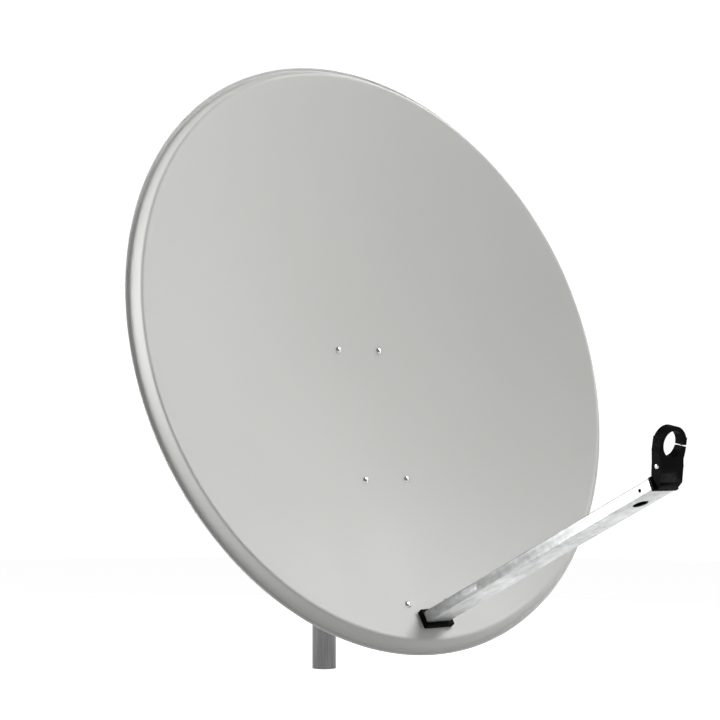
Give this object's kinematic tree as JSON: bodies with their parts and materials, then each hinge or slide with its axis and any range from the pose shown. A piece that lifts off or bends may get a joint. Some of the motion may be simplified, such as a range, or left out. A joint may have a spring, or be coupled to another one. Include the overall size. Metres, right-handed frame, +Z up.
{
  "type": "satellite dish",
  "caption": "offset satellite dish with a grey pressed reflector, rear bracket, mast clamp with azimuth and elevation joints, feed arm and empty LNB ring, on a mast stub",
  "frame": {"origin": "centre of the mast's foot", "axes": "+Z runs up the mast; the dish faces -Y with its feed arm; X runs along the elevation pivot"},
  "size_m": [1.0234, 0.9355, 1.1103],
  "materials": {
    "reflector_paint": "light grey powder coat, low gloss",
    "black_plastic": "moulded black plastic, fine grain",
    "zinc_sheet": "galvanised pressed sheet with faint spangle",
    "zinc_tube": "galvanised tube, mottled and semi bright",
    "cast_saddle": "as cast, matt",
    "zinc_fastener": "bright zinc plated steel",
    "scale_plate": "satin plate with dark degree marks"
  },
  "bodies": {
    "mast": {"mast_tube": "zinc_tube", "mast_cap": "black_plastic"},
    "head": {"mast_bracket": "zinc_sheet", "elevation_scale": "scale_plate", "mast_saddles": "cast_saddle", "clamp_jaws": "zinc_sheet", "clamp_bolts": "zinc_fastener", "clamp_washers": "zinc_fastener", "clamp_nuts": "zinc_fastener"},
    "dish": {"reflector": "reflector_paint", "arm_grommet": "black_plastic", "arm_rear_plug": "black_plastic", "reflector_spacers": "black_plastic", "lnb_holder": "black_plastic", "lnb_clamp_cap": "black_plastic", "rear_bracket": "zinc_sheet", "arm_support": "zinc_sheet", "feed_arm": "zinc_tube", "reflector_bolts": "zinc_fastener", "reflector_nuts": "zinc_fastener", "support_bolts": "zinc_fastener", "support_nuts": "zinc_fastener", "foot_bolts": "zinc_fastener", "foot_nuts": "zinc_fastener", "arm_cross_bolts": "zinc_fastener", "arm_cross_nuts": "zinc_fastener", "lnb_clamp_screw": "zinc_fastener", "lnb_clamp_nut": "zinc_fastener", "holder_bolt": "zinc_fastener", "holder_nut": "zinc_fastener", "elevation_washers": "zinc_fastener", "elevation_bolts": "zinc_fastener", "elevation_nuts": "zinc_fastener", "elevation_pointer": "zinc_fastener"}
  },
  "joints": [
    {"name": "azimuth", "type": "hinge", "parent": "mast", "child": "head", "pos_m": [0, 0, 0.4565], "axis": [0, 0, 1], "continuous": true},
    {"name": "elevation", "type": "hinge", "parent": "head", "child": "dish", "pos_m": [0, -0.0788, 0.4814], "axis": [-1, 0, 0], "range_deg": [-18, 18]}
  ]
}
